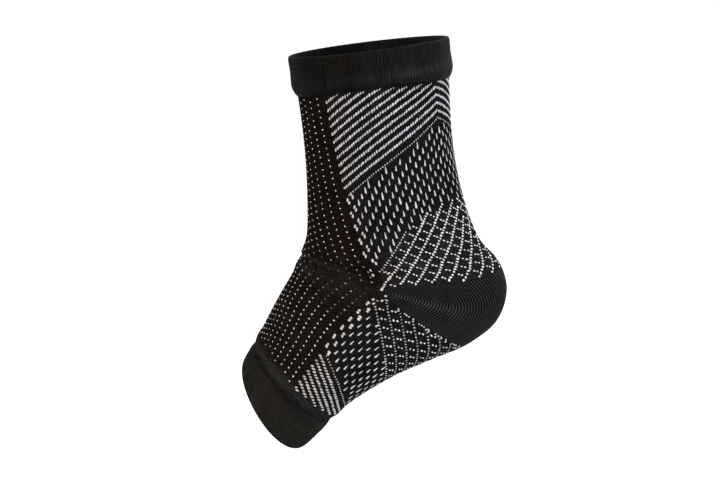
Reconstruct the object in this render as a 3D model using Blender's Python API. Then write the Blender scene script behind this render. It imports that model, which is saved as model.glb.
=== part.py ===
"""Ankle compression sleeve: an open-toed knitted elastic tube with a turned heel and a welt at each end.

It keeps the form that it has on a foot. The origin is the middle of the ankle. +X points to the heel,
-X to the toes and +Z up the leg. Run it in Blender 4.5; it makes one object for each knitted piece.
"""

from collections import namedtuple

import bpy
import numpy as np

# Driving sizes, in metres and degrees.
LEG_HEIGHT = 0.1218  # ankle's middle up to the middle of the top rim
LEG_DEPTH = 0.0803  # front to back where the leg is narrowest
LEG_WIDTH = 0.0630  # side to side at the same place
LEG_LEAN = 5.8  # the leg leans towards the toes
INSTEP_RADIUS = 0.0497  # ankle's middle to the bend at the instep
HEEL_RADIUS = 0.0636  # ankle's middle to the far point of the heel
HEEL_WIDTH = 0.0660  # side to side across the heel
FOOT_LENGTH = 0.0915  # ankle's middle to the toe rim, along the foot
FOOT_DEPTH = 0.0546  # ankle's middle down to the sole, square to the foot
FOOT_WIDTH = 0.0860  # side to side at the toe rim
FOOT_DROOP = 30.8  # the foot points down by this much

# The knitted pieces.
KNIT_WALL = 0.0012  # the single knit of the leg and the foot
HEEL_WALL = 0.0015  # the heel's thicker knit
PIECE_GAP = 0.0003  # room between two pieces that are knitted together
LEG_CUFF_HEIGHT = 0.0192
LEG_CUFF_PROUD = 0.0013  # the folded welt stands this far above the knit
LEG_CUFF_BOW = 0.0014  # its edge lies this much higher at the sides than in front
TOE_CUFF_HEIGHT = 0.0185
TOE_CUFF_PROUD = 0.0012
TOE_CUFF_BOW = 0.0038
ROLL_PROUD = 0.0006  # the knit swells before the toe welt
ROLL_INSET = 0.0060  # from the welt's edge to the top of that swell
ROLL_BREADTH = 0.0040
BONE_PROUD = 0.0016  # the ankle bones push the knit out
BONE_BREADTH = 0.0130

# The heel pocket is a lens between two corners, one on each side.
GORE_SHARE = 0.206  # corner's place round the sleeve: 0 is the front and 0.5 is the back
GORE_COURSE = 0.532  # corner's place along the sleeve: 0 is the top rim and 1 is the toe rim
HEEL_RISE = 0.0205  # along the back, from the corner's course up to the pocket's top
HEEL_FALL = 0.0360  # and down to its lower edge
RISE_POWER = 0.4  # how soon the upper edge rises behind the corner
FALL_POWER = 0.5

# Fineness of the solids.
FRONT_COLUMNS = 9
BACK_COLUMNS = 13
CORNER_COLUMN = 0.004  # first column behind the heel corner, as a share of the way to the back
LEG_ROWS = 15
FOOT_ROWS = 15
HEEL_ROWS = 10

# Leg sections: ends in front and at the back, up as shares of LEG_HEIGHT, out of LEG_DEPTH.
LegSection = namedtuple("LegSection", "name course front_up front_out back_up back_out half_width belly")
LEG_SECTIONS = [
    LegSection("top_rim", 0.000, 0.993, -0.502, 1.007, 0.502, 0.587, 0.05),
    LegSection("cuff_end", 0.078, 0.830, -0.481, 0.835, 0.493, 0.556, 0.05),
    LegSection("upper", 0.175, 0.610, -0.476, 0.605, 0.484, 0.524, 0.10),
    LegSection("narrow", 0.268, 0.416, -0.492, 0.395, 0.508, 0.500, 0.12),
    LegSection("lower", 0.351, 0.251, -0.520, 0.207, 0.567, 0.516, 0.10),
    LegSection("bones", 0.412, 0.165, -0.550, 0.098, 0.632, 0.548, 0.04),
]

# Heel sections turn about the ankle like spokes: angles above +X, ends as shares of the two radii.
HeelSection = namedtuple("HeelSection", "name course front_angle front back_angle back half_width belly")
HEEL_SECTIONS = [
    HeelSection("heel_top", 0.464, 165.3, 0.993, 6.2, 0.929, 0.523, 0.00),
    HeelSection("heel_back", 0.515, 166.8, 0.989, -7.8, 1.001, 0.500, 0.00),
    HeelSection("heel_under", 0.567, 169.0, 1.000, -23.2, 1.000, 0.492, -0.03),
    HeelSection("heel_sole", 0.619, 172.5, 1.013, -38.9, 0.919, 0.500, -0.06),
]

# Foot sections: ends on top and at the sole, along as shares of FOOT_LENGTH, up of FOOT_DEPTH.
FootSection = namedtuple("FootSection", "name course top_along top_up sole_along sole_up half_width belly")
FOOT_SECTIONS = [
    FootSection("instep", 0.691, 0.491, 0.505, 0.016, -0.956, 0.401, -0.12),
    FootSection("arch", 0.784, 0.641, 0.363, 0.260, -0.897, 0.424, -0.20),
    FootSection("ball", 0.876, 0.819, 0.178, 0.543, -0.895, 0.459, -0.22),
    FootSection("toe_band", 0.938, 0.932, 0.049, 0.724, -0.935, 0.483, -0.18),
    FootSection("toe_rim", 1.000, 1.060, -0.087, 0.939, -1.001, 0.500, -0.12),
]

# Creases below the instep bend, each from a front end to a side end, as shares of INSTEP_RADIUS.
# A hollow has a height below zero. Heights and breadths are shares of KNIT_WALL and INSTEP_RADIUS.
Fold = namedtuple("Fold", "name front_angle front side_angle side height breadth")
FOLDS = [
    Fold("upper_roll", 162.0, 1.00, 178.0, 0.42, 0.70, 0.070),
    Fold("middle_hollow", 168.0, 1.00, 189.0, 0.46, -0.45, 0.055),
    Fold("lower_roll", 174.0, 1.02, 201.0, 0.52, 0.45, 0.075),
]

# Outlines of the two welts, from the rim to the inner edge, as shares of their height and proud.
WeltPoint = namedtuple("WeltPoint", "height proud")
LEG_WELT = [
    WeltPoint(0.00, 0.25),
    WeltPoint(0.04, 0.75),
    WeltPoint(0.30, 0.85),
    WeltPoint(0.60, 0.95),
    WeltPoint(0.80, 1.35),
    WeltPoint(0.90, 1.15),
    WeltPoint(0.97, 0.60),
    WeltPoint(1.00, 0.10),
]
TOE_WELT = [
    WeltPoint(0.00, 0.10),
    WeltPoint(0.05, 0.65),
    WeltPoint(0.20, 0.95),
    WeltPoint(0.50, 1.05),
    WeltPoint(0.75, 0.95),
    WeltPoint(0.90, 0.60),
    WeltPoint(1.00, 0.00),
]

# One finish for each piece: colour, roughness.
Finish = namedtuple("Finish", "color roughness")
FINISHES = {
    "leg_cuff": Finish((0.008, 0.008, 0.009), 0.62),
    "leg_tube": Finish((0.014, 0.013, 0.015), 0.80),
    "heel_pocket": Finish((0.012, 0.012, 0.014), 0.70),
    "foot_tube": Finish((0.014, 0.013, 0.015), 0.80),
    "toe_cuff": Finish((0.007, 0.007, 0.008), 0.66),
}

STEP = 1e-4  # small change of share or course, for slopes


def turned(angle):
    """Unit vector in the side view, turned up from +X by an angle in degrees."""
    return np.array([np.cos(np.radians(angle)), np.sin(np.radians(angle))])


def leg_end(up, out):
    """Point of the side view from a height up the leaning leg and a distance towards the back."""
    return up * LEG_HEIGHT * turned(90 + LEG_LEAN) + out * LEG_DEPTH * turned(LEG_LEAN)


def foot_end(along, up):
    """Point of the side view from a distance along the drooping foot and a height above its axis."""
    return along * FOOT_LENGTH * turned(180 + FOOT_DROOP) + up * FOOT_DEPTH * turned(90 + FOOT_DROOP)


def stations():
    """Course, and front x and z, back x and z, half width and belly in metres, one row for each section."""
    rows = []
    for s in LEG_SECTIONS:
        front, back = leg_end(s.front_up, s.front_out), leg_end(s.back_up, s.back_out)
        rows.append([s.course, *front, *back, s.half_width * LEG_WIDTH, s.belly])
    for s in HEEL_SECTIONS:
        front = s.front * INSTEP_RADIUS * turned(s.front_angle)
        back = s.back * HEEL_RADIUS * turned(s.back_angle)
        rows.append([s.course, *front, *back, s.half_width * HEEL_WIDTH, s.belly])
    for s in FOOT_SECTIONS:
        front, back = foot_end(s.top_along, s.top_up), foot_end(s.sole_along, s.sole_up)
        rows.append([s.course, *front, *back, s.half_width * FOOT_WIDTH, s.belly])
    return np.array(rows)


STATIONS = stations()


def along_stations(column, course):
    """Smooth curve through one column of the stations: cubic pieces whose slopes weigh their neighbours."""
    knots, values = STATIONS[:, 0], STATIONS[:, column]
    rises = np.diff(values) / np.diff(knots)
    slopes = np.concatenate([rises[:1], rises[1:], rises[-1:]])
    before, after = np.diff(knots)[:-1], np.diff(knots)[1:]
    slopes[1:-1] = (rises[:-1] * after + rises[1:] * before) / (before + after)
    k = np.clip(np.searchsorted(knots, course, side="right") - 1, 0, len(knots) - 2)
    width = knots[k + 1] - knots[k]
    s = (course - knots[k]) / width
    return (
        values[k] * (1 + 2 * s) * (1 - s) ** 2
        + slopes[k] * width * s * (1 - s) ** 2
        + values[k + 1] * s**2 * (3 - 2 * s)
        + slopes[k + 1] * width * s**2 * (s - 1)
    )


def plain_point(share, course):
    """Outer face of the knit without folds: an egg-shaped section between its front and back ends."""
    front_x, front_z, back_x, back_z, half_width, belly = (along_stations(c, course) for c in range(1, 7))
    half_depth = 0.5 * np.hypot(back_x - front_x, back_z - front_z)
    squash = (half_depth**2 - half_width**2) / (half_depth**2 + half_width**2)
    turn = 2 * np.pi * share
    turn = turn + squash / 4 * np.sin(2 * turn)
    across = (1 - np.cos(turn)) / 2
    side = -half_width * np.sin(turn) * (1 + belly * np.cos(turn))
    x = front_x + (back_x - front_x) * across
    z = front_z + (back_z - front_z) * across
    return np.stack([x, side, z], axis=-1)


def outward(share, course):
    """Unit normal of the plain outer face, from small steps along and round it."""
    down = plain_point(share, course + STEP) - plain_point(share, course - STEP)
    around = plain_point(share + STEP, course) - plain_point(share - STEP, course)
    normal = np.cross(down, around)
    return normal / np.linalg.norm(normal, axis=-1, keepdims=True)


def relief(points):
    """Height of the folds and ankle bones at points: bell-shaped rolls along lines of the side view."""
    flat = points[..., [0, 2]]
    height = np.zeros(flat.shape[:-1])
    for fold in FOLDS:
        start = fold.front * INSTEP_RADIUS * turned(fold.front_angle)
        run = fold.side * INSTEP_RADIUS * turned(fold.side_angle) - start
        offset = flat - start
        share = np.clip(offset @ run / (run @ run), 0, 1)
        aside = np.linalg.norm(offset - share[..., None] * run, axis=-1)
        bell = np.exp(-((aside / (fold.breadth * INSTEP_RADIUS)) ** 2))
        height += fold.height * KNIT_WALL * bell * (1 - share**2)
    bone = np.exp(-((np.linalg.norm(flat, axis=-1) / BONE_BREADTH) ** 2))
    return height + BONE_PROUD * bone


def skin(share, course, proud):
    """Points that stand proud of the outer face by the given height, folds included."""
    plain = plain_point(share, course)
    return plain + (relief(plain) + proud)[..., None] * outward(share, course)


def course_from(share, course, distance):
    """Course that lies a distance along one wale from another course, downwards where it is positive."""
    courses = np.linspace(0, 1, 801)
    line = plain_point(np.full_like(courses, share), courses)
    lengths = np.concatenate([[0], np.cumsum(np.linalg.norm(np.diff(line, axis=0), axis=1))])
    return np.interp(np.interp(course, courses, lengths) + distance, lengths, courses)


def side_bow(shares, bow):
    """Extra distance from the rim: none on average, the most at the two sides."""
    return -bow * np.cos(4 * np.pi * shares)


def leg_cuff_edge(shares):
    """Course of the lower edge of the top welt."""
    return np.array([course_from(s, 0, h) for s, h in zip(shares, cuff_heights(shares))])


def cuff_heights(shares):
    """Height of the top welt round the sleeve, lower at the sides."""
    return LEG_CUFF_HEIGHT - side_bow(shares, LEG_CUFF_BOW)


def toe_cuff_edge(shares):
    """Course of the upper edge of the toe welt."""
    side = course_from(0.25, 1, -TOE_CUFF_HEIGHT)
    slope = (1 - side) / TOE_CUFF_HEIGHT
    return side - slope * (side_bow(shares, TOE_CUFF_BOW) - TOE_CUFF_BOW / 2) / 2


def heel_edges(shares):
    """Courses of the heel pocket's upper and lower edge; before the corner both stay at its course."""
    side = np.minimum(shares, 1 - shares)
    behind = np.clip((side - GORE_SHARE) / (0.5 - GORE_SHARE), 0, 1)
    top = course_from(0.5, GORE_COURSE, -HEEL_RISE)
    bottom = course_from(0.5, GORE_COURSE, HEEL_FALL)
    upper = GORE_COURSE + (top - GORE_COURSE) * behind**RISE_POWER
    lower = GORE_COURSE + (bottom - GORE_COURSE) * behind**FALL_POWER
    return upper, lower


def moved(shares, courses, distance):
    """Courses of an edge moved square to itself by a distance, downwards where it is positive."""
    line = plain_point(shares, courses)
    down = plain_point(shares, courses + STEP) - plain_point(shares, courses - STEP)
    speed = np.linalg.norm(down, axis=-1) / (2 * STEP)
    along = np.roll(line, -1, axis=0) - np.roll(line, 1, axis=0)
    steep = np.abs(np.sum(along * down, axis=-1))
    steep = steep / np.linalg.norm(along, axis=-1) / np.linalg.norm(down, axis=-1)
    square = np.sqrt(np.maximum(1 - steep**2, 0.15))
    return courses + distance / speed / square


def column_shares():
    """Places of the columns round the sleeve, with one on each heel corner and one close behind it."""
    front = np.linspace(0, GORE_SHARE, FRONT_COLUMNS, endpoint=False)
    back = np.linspace(0, 1, BACK_COLUMNS + 1) ** 1.5
    back = np.concatenate([back[:1], [CORNER_COLUMN], back[1:]])
    half = np.concatenate([front, GORE_SHARE + (0.5 - GORE_SHARE) * back])
    return np.concatenate([half, 1 - half[-2:0:-1]])


def wall(shares, rows, top, bottom, outside, inside):
    """Closed outline of a wall at each column: down its outer face and up its inner face.

    Courses run evenly from top to bottom. The faces stand at outside and inside, rows by columns.
    """
    share = np.linspace(0, 1, rows + 1)[:, None]
    courses = top + (bottom - top) * share
    grid = np.broadcast_to(shares, courses.shape)
    outer = skin(grid, courses, np.broadcast_to(outside, courses.shape))
    inner = skin(grid, courses, np.broadcast_to(inside, courses.shape))
    return np.concatenate([outer, inner[::-1]])


def welt(shares, outline, rim, edge, proud):
    """Closed outline of a folded welt at each column, rounded at the rim, its inner face flush."""
    heights = np.array([p.height for p in outline])[:, None]
    proud = proud * np.array([p.proud for p in outline])[:, None]
    courses = rim + (edge - rim) * heights
    grid = np.broadcast_to(shares, courses.shape)
    outer = skin(grid, courses, np.broadcast_to(proud, courses.shape))
    inner = skin(grid, courses, np.full(courses.shape, -KNIT_WALL))
    return np.concatenate([outer, inner[::-1]])


def make_piece(name, outline, ring):
    """Solid swept through the outlines of its columns: a ring closes on itself, a patch gets end faces."""
    count, columns = outline.shape[:2]
    index = np.arange(count * columns).reshape(count, columns)
    if ring:
        index = np.concatenate([index, index[:, :1]], axis=1)
    below = np.roll(index, -1, axis=0)
    quads = np.stack([index[:, :-1], below[:, :-1], below[:, 1:], index[:, 1:]], axis=-1).reshape(-1, 4)
    faces = [tuple(int(v) for v in quad) for quad in quads]
    if not ring:
        half = count // 2
        for column, order in ((0, 1), (columns - 1, -1)):
            outer, inner = index[:half, column], index[half:, column][::-1]
            for k in range(half - 1):
                face = (outer[k], inner[k], inner[k + 1], outer[k + 1])
                faces.append(tuple(int(v) for v in face[::order]))
    mesh = bpy.data.meshes.new(name)
    mesh.from_pydata(outline.reshape(-1, 3).tolist(), [], faces)
    mesh.validate()
    piece = bpy.data.objects.new(name, mesh)
    bpy.context.scene.collection.objects.link(piece)
    piece.data.materials.append(finish(name))
    return piece


def finish(name):
    """Principled material of one knitted piece."""
    material = bpy.data.materials.new(name)
    material.use_nodes = True
    shader = material.node_tree.nodes["Principled BSDF"]
    shader.inputs["Base Color"].default_value = (*FINISHES[name].color, 1)
    shader.inputs["Roughness"].default_value = FINISHES[name].roughness
    shader.inputs["Metallic"].default_value = 0
    return material


def leg_cuff(shares):
    """Folded welt at the top rim."""
    edge = moved(shares, leg_cuff_edge(shares), -PIECE_GAP / 2)
    make_piece("leg_cuff", welt(shares, LEG_WELT, np.zeros_like(shares), edge, LEG_CUFF_PROUD), True)


def leg_tube(shares):
    """Leg from the top welt down to the heel corners and the heel pocket's upper edge."""
    top = moved(shares, leg_cuff_edge(shares), PIECE_GAP / 2)
    bottom = moved(shares, heel_edges(shares)[0], -PIECE_GAP / 2)
    make_piece("leg_tube", wall(shares, LEG_ROWS, top, bottom, 0.0, -KNIT_WALL), True)


def heel_pocket(shares):
    """Thicker pocket that fills the lens behind the two heel corners."""
    upper, lower = heel_edges(shares)
    top, bottom = moved(shares, upper, PIECE_GAP / 2), moved(shares, lower, -PIECE_GAP / 2)
    behind = np.minimum(shares, 1 - shares) > GORE_SHARE + CORNER_COLUMN * (0.5 - GORE_SHARE) / 2
    outline = wall(shares[behind], HEEL_ROWS, top[behind], bottom[behind], 0.0, -HEEL_WALL)
    make_piece("heel_pocket", outline, False)


def foot_tube(shares):
    """Foot from the heel corners and the pocket's lower edge to the toe welt, swelling before it."""
    top = moved(shares, heel_edges(shares)[1], PIECE_GAP / 2)
    bottom = moved(shares, toe_cuff_edge(shares), -PIECE_GAP / 2)
    share = np.linspace(0, 1, FOOT_ROWS + 1)[:, None]
    length = np.linalg.norm(plain_point(shares, bottom) - plain_point(shares, top), axis=-1)
    inset = (1 - share) * length
    swell = ROLL_PROUD * np.exp(-(((inset - ROLL_INSET) / ROLL_BREADTH) ** 2))
    make_piece("foot_tube", wall(shares, FOOT_ROWS, top, bottom, swell, swell - KNIT_WALL), True)


def toe_cuff(shares):
    """Folded welt at the toe rim."""
    edge = moved(shares, toe_cuff_edge(shares), PIECE_GAP / 2)
    outline = welt(shares, TOE_WELT, np.ones_like(shares), edge, TOE_CUFF_PROUD)
    make_piece("toe_cuff", outline[::-1], True)


for old in list(bpy.data.objects):
    bpy.data.objects.remove(old, do_unlink=True)
SHARES = column_shares()
leg_cuff(SHARES)
leg_tube(SHARES)
heel_pocket(SHARES)
foot_tube(SHARES)
toe_cuff(SHARES)
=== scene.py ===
"""Looks of the ankle compression sleeve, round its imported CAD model.

The sleeve is one knitted elastic tube. A point of it has a share round the tube, where 0 is the middle of
the front, 0.25 the near side and 0.5 the middle of the back, and a course along it, where 0 is the top rim
and 1 the toe rim. The knit itself is counted in wales round the tube and in rows along it. Sizes are in
metres, angles in degrees.
"""

from collections import namedtuple

import bpy
import numpy as np
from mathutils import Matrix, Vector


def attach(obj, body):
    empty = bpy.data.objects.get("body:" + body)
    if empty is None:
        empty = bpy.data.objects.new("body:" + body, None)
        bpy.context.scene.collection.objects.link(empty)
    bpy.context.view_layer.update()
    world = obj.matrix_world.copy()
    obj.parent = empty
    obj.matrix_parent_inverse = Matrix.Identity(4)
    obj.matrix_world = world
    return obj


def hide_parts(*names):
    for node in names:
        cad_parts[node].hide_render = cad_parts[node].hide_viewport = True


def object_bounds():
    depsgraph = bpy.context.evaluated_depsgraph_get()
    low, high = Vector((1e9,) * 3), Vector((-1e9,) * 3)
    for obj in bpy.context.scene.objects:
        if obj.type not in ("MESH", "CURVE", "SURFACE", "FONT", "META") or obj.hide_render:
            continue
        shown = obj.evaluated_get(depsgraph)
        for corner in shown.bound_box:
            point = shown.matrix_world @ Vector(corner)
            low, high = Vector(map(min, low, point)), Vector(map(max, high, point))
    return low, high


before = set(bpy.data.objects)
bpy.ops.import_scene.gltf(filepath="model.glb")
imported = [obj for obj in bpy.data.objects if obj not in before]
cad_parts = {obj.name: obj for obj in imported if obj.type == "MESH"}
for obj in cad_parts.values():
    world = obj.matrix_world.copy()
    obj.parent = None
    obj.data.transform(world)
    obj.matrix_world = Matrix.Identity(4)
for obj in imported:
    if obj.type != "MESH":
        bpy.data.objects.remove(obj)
cad_low, cad_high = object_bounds()

# Camera.
# It looks square at the sleeve's near side from a little above the ankle, with a normal lens, as the
# photograph does.
CAMERA_PLACE = (-0.0109, -0.5226, 0.1559)
CAMERA_DOWN = 14.92
CAMERA_LEFT = 0.61
CAMERA_LENS = 50.27


def put(name, data):
    """Object of a mesh, a lamp or a camera, linked into the scene."""
    thing = bpy.data.objects.new(name, data)
    bpy.context.scene.collection.objects.link(thing)
    return thing


camera = put("camera", bpy.data.cameras.new("camera"))
bpy.context.scene.camera = camera
camera.location = CAMERA_PLACE
camera.rotation_euler = (np.radians(90 - CAMERA_DOWN), 0, np.radians(CAMERA_LEFT))
camera.data.lens = CAMERA_LENS

# Leg.
# A single knit of black elastic yarn, worked round and round from the top welt down to the turned heel. It
# is thin and keeps its worn form: narrow above the ankle, with a low bulge at each side of it.
LEG_HEIGHT = 0.1218
LEG_DEPTH = 0.0803
LEG_WIDTH = 0.0630
LEG_LEAN = 5.8
INSTEP_RADIUS = 0.0497
HEEL_RADIUS = 0.0636
HEEL_WIDTH = 0.0660
FOOT_LENGTH = 0.0915
FOOT_DEPTH = 0.0546
FOOT_WIDTH = 0.0860
FOOT_DROOP = 30.8
KNIT_WALL = 0.0012
LEG_CUFF_HEIGHT = 0.0192
LEG_CUFF_BOW = 0.0014
GORE_SHARE = 0.206  # the heel corner, where the gore line ends that the heel pocket turns on
GORE_COURSE = 0.532
HEEL_RISE = 0.0205
RISE_POWER = 0.4
BULGE_PROUD = 0.0016
BULGE_BREADTH = 0.0130
SEAM_GAP = 0.00008  # in courses, from an edge to the seam: about 0.02 mm

WALES = 168
BORDER_WALE = 40  # where the dotted front panel ends and the patterned back begins
ROW = 0.000745  # length of a row along the knit
RIB = 0.00010
WALE_COLUMNS = 3  # columns of points in a wale
LEG_ROWS = 132
LINING_ROWS = 24
EDGE_ROUNDS = 12
STRAND_LEAN = 7  # radians of a row's wave to a wale
STITCH_BUMP = 0.0004
CLOUDS = 60.0  # noise scales
FLECKS = 700.0
LATTICE_TOP_ROW = 82.4  # at the middle of the back
LATTICE_TOP_SLOPE = 0.15
LATTICE_TOP_BOW = 0.019
LATTICE_TINGE = 0.55
# Painted highlight round the instep bend: its share of the second colour, course and breadth.
BEND_HIGHLIGHT = 0.40
BEND_COURSE = 0.545
BEND_BREADTH = 0.055

# Leg sections: ends in front and at the back, up as shares of LEG_HEIGHT, out of LEG_DEPTH.
LegSection = namedtuple("LegSection", "name course front_up front_out back_up back_out half_width belly")
LEG_SECTIONS = [
    LegSection("top_rim", 0.000, 0.993, -0.502, 1.007, 0.502, 0.587, 0.05),
    LegSection("cuff_end", 0.078, 0.830, -0.481, 0.835, 0.493, 0.556, 0.05),
    LegSection("upper", 0.175, 0.610, -0.476, 0.605, 0.484, 0.524, 0.10),
    LegSection("narrow", 0.268, 0.416, -0.492, 0.395, 0.508, 0.500, 0.12),
    LegSection("lower", 0.351, 0.251, -0.520, 0.207, 0.567, 0.516, 0.10),
    LegSection("ankle", 0.412, 0.165, -0.550, 0.098, 0.632, 0.548, 0.04),
]

# Heel sections turn about the ankle like spokes: angles above +X, ends as shares of the two radii.
HeelSection = namedtuple("HeelSection", "name course front_angle front back_angle back half_width belly")
HEEL_SECTIONS = [
    HeelSection("heel_top", 0.464, 165.3, 0.993, 6.2, 0.929, 0.523, 0.00),
    HeelSection("heel_back", 0.515, 166.8, 0.989, -7.8, 1.001, 0.500, 0.00),
    HeelSection("heel_under", 0.567, 169.0, 1.000, -23.2, 1.000, 0.492, -0.03),
    HeelSection("heel_sole", 0.619, 172.5, 1.013, -38.9, 0.919, 0.500, -0.06),
]

# Foot sections: ends on top and at the sole, along as shares of FOOT_LENGTH, up of FOOT_DEPTH.
FootSection = namedtuple("FootSection", "name course top_along top_up sole_along sole_up half_width belly")
FOOT_SECTIONS = [
    FootSection("instep", 0.691, 0.491, 0.505, 0.016, -0.956, 0.401, -0.12),
    FootSection("arch", 0.784, 0.641, 0.363, 0.260, -0.897, 0.424, -0.20),
    FootSection("ball", 0.876, 0.819, 0.178, 0.543, -0.895, 0.459, -0.22),
    FootSection("toe_band", 0.938, 0.932, 0.049, 0.724, -0.935, 0.483, -0.18),
    FootSection("toe_rim", 1.000, 1.060, -0.087, 0.939, -1.001, 0.500, -0.12),
]

# Creases below the instep bend, each from a front end to a side end, as shares of INSTEP_RADIUS.
# A hollow has a height below zero. Heights and breadths are shares of KNIT_WALL and INSTEP_RADIUS.
Fold = namedtuple("Fold", "name front_angle front side_angle side height breadth")
FOLDS = [
    Fold("upper_roll", 162.0, 1.00, 178.0, 0.42, 0.70, 0.070),
    Fold("middle_hollow", 168.0, 1.00, 189.0, 0.46, -0.45, 0.055),
    Fold("lower_roll", 174.0, 1.02, 201.0, 0.52, 0.45, 0.075),
]

# Painted highlights along the folds' crests; here a fold's height is how much of the second colour it takes.
FOLD_HIGHLIGHTS = [
    Fold("upper_fold_highlight", 163.5, 1.00, 158.0, 0.36, 1.15, 0.018),
    Fold("lower_fold_highlight", 171.3, 1.00, 195.6, 0.44, 0.55, 0.026),
]

# The knit turns a little round the leg. Twist is the share of wale 0 and border that of the panel's edge.
# Behind it a wale takes its breadth, also a share, and spread says where the wales catch up with the back.
WaleLine = namedtuple("WaleLine", "course twist border")
Wales = namedtuple("Wales", "lines breadth spread")
LEG_WALES = Wales(breadth=0.00576, spread=lambda back: back**4, lines=[
    WaleLine(0.000, -0.104, 0.1350),
    WaleLine(0.082, -0.102, 0.1445),
    WaleLine(0.134, -0.099, 0.1485),
    WaleLine(0.186, -0.089, 0.1550),
    WaleLine(0.229, -0.085, 0.1605),
    WaleLine(0.276, -0.077, 0.1695),
    WaleLine(0.309, -0.068, 0.1755),
    WaleLine(0.340, -0.052, 0.1825),
    WaleLine(0.392, -0.020, 0.1920),
    WaleLine(0.443, 0.000, 0.2035),
    WaleLine(0.532, 0.000, 0.2060),
])


def ease(value, start, end):
    """Smooth step from 0 to 1 as a value goes from start to end."""
    share = np.clip((value - start) / (end - start), 0, 1)
    return share**2 * (3 - 2 * share)


def bell(value, centre, breadth):
    """Bell of height 1 round a centre, down to 0.37 one breadth away."""
    return np.exp(-(((value - centre) / breadth) ** 2))


def turned(angle):
    """Unit vector in the side view, turned up from +X by an angle."""
    return np.array([np.cos(np.radians(angle)), np.sin(np.radians(angle))])


def leg_end(up, out):
    """Point of the side view from a height up the leaning leg and a distance towards the back."""
    return up * LEG_HEIGHT * turned(90 + LEG_LEAN) + out * LEG_DEPTH * turned(LEG_LEAN)


def foot_end(along, up):
    """Point of the side view from a distance along the drooping foot and a height above its axis."""
    return along * FOOT_LENGTH * turned(180 + FOOT_DROOP) + up * FOOT_DEPTH * turned(90 + FOOT_DROOP)


def stations():
    """Course, and front x and z, back x and z, half width and belly in metres, one row for each section."""
    rows = []
    for s in LEG_SECTIONS:
        front, back = leg_end(s.front_up, s.front_out), leg_end(s.back_up, s.back_out)
        rows.append([s.course, *front, *back, s.half_width * LEG_WIDTH, s.belly])
    for s in HEEL_SECTIONS:
        front = s.front * INSTEP_RADIUS * turned(s.front_angle)
        back = s.back * HEEL_RADIUS * turned(s.back_angle)
        rows.append([s.course, *front, *back, s.half_width * HEEL_WIDTH, s.belly])
    for s in FOOT_SECTIONS:
        front, back = foot_end(s.top_along, s.top_up), foot_end(s.sole_along, s.sole_up)
        rows.append([s.course, *front, *back, s.half_width * FOOT_WIDTH, s.belly])
    return rows


def curves(table, place):
    """Smooth curves through the columns of a table, at places along its first column.

    From row to row each is a cubic, and its slope at a row weighs the slopes on both sides of it.
    """
    knots, *columns = np.array(table).T
    steps = np.diff(knots)
    k = np.clip(np.searchsorted(knots, place, side="right") - 1, 0, len(knots) - 2)
    width = steps[k]
    s = (place - knots[k]) / width
    found = []
    for values in columns:
        rises = np.diff(values) / steps
        slopes = np.append(rises, rises[-1])
        slopes[1:-1] = (rises[:-1] * steps[1:] + rises[1:] * steps[:-1]) / (steps[:-1] + steps[1:])
        found.append(
            values[k] * (1 + 2 * s) * (1 - s) ** 2
            + slopes[k] * width * s * (1 - s) ** 2
            + values[k + 1] * s**2 * (3 - 2 * s)
            + slopes[k + 1] * width * s**2 * (s - 1)
        )
    return found


STATIONS = stations()


def plain_point(share, course):
    """Outer face of the knit without folds.

    Its section is an ellipse between the front and back ends, made an egg by its belly, and the turn round
    it is corrected so that shares lie nearly evenly.
    """
    front_x, front_z, back_x, back_z, half_width, belly = curves(STATIONS, course)
    half_depth = 0.5 * np.hypot(back_x - front_x, back_z - front_z)
    squash = (half_depth**2 - half_width**2) / (half_depth**2 + half_width**2)
    turn = 2 * np.pi * share
    turn = turn + squash / 4 * np.sin(2 * turn)
    across = (1 - np.cos(turn)) / 2
    side = -half_width * np.sin(turn) * (1 + belly * np.cos(turn))
    x = front_x + (back_x - front_x) * across
    z = front_z + (back_z - front_z) * across
    return np.stack([x, side, z], axis=-1)


def outward(share, course):
    """Unit normal of the plain outer face, from small steps along and round it."""
    step = 1e-4
    down = plain_point(share, course + step) - plain_point(share, course - step)
    around = plain_point(share + step, course) - plain_point(share - step, course)
    normal = np.cross(down, around)
    return normal / np.linalg.norm(normal, axis=-1, keepdims=True)


def fold_bell(points, fold):
    """A fold's height times a bell across its line in the side view, fading towards its side end."""
    start = fold.front * INSTEP_RADIUS * turned(fold.front_angle)
    run = fold.side * INSTEP_RADIUS * turned(fold.side_angle) - start
    offset = points[..., [0, 2]] - start
    share = np.clip(offset @ run / (run @ run), 0, 1)
    aside = np.linalg.norm(offset - share[..., None] * run, axis=-1)
    return fold.height * bell(aside, 0, fold.breadth * INSTEP_RADIUS) * (1 - share**2)


def skin(share, course, proud):
    """Points proud of the outer face by a height, added to its folds and the bulges beside the ankle."""
    plain = plain_point(share, course)
    folds = sum(fold_bell(plain, fold) for fold in FOLDS)
    bulge = bell(np.linalg.norm(plain[..., [0, 2]], axis=-1), 0, BULGE_BREADTH)
    height = KNIT_WALL * folds + BULGE_PROUD * bulge + proud
    return plain + height[..., None] * outward(share, course)


# Net of plain points on one side, to turn courses into lengths along the knit, and lengths into courses.
SHARE_STEPS = np.linspace(0, 0.5, 81)
COURSE_STEPS = np.linspace(0, 1, 801)
NET = plain_point(*np.meshgrid(SHARE_STEPS, COURSE_STEPS, indexing="ij"))
LENGTHS = np.pad(np.cumsum(np.linalg.norm(np.diff(NET, axis=1), axis=2), axis=1), ((0, 0), (1, 0)))
LONGEST = LENGTHS.max()
COURSES = np.array([np.interp(COURSE_STEPS * LONGEST, line, COURSE_STEPS) for line in LENGTHS])


def from_front(share):
    """Share as far as 0.5 from the front, on either side."""
    return np.abs((share + 0.5) % 1 - 0.5)


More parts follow.
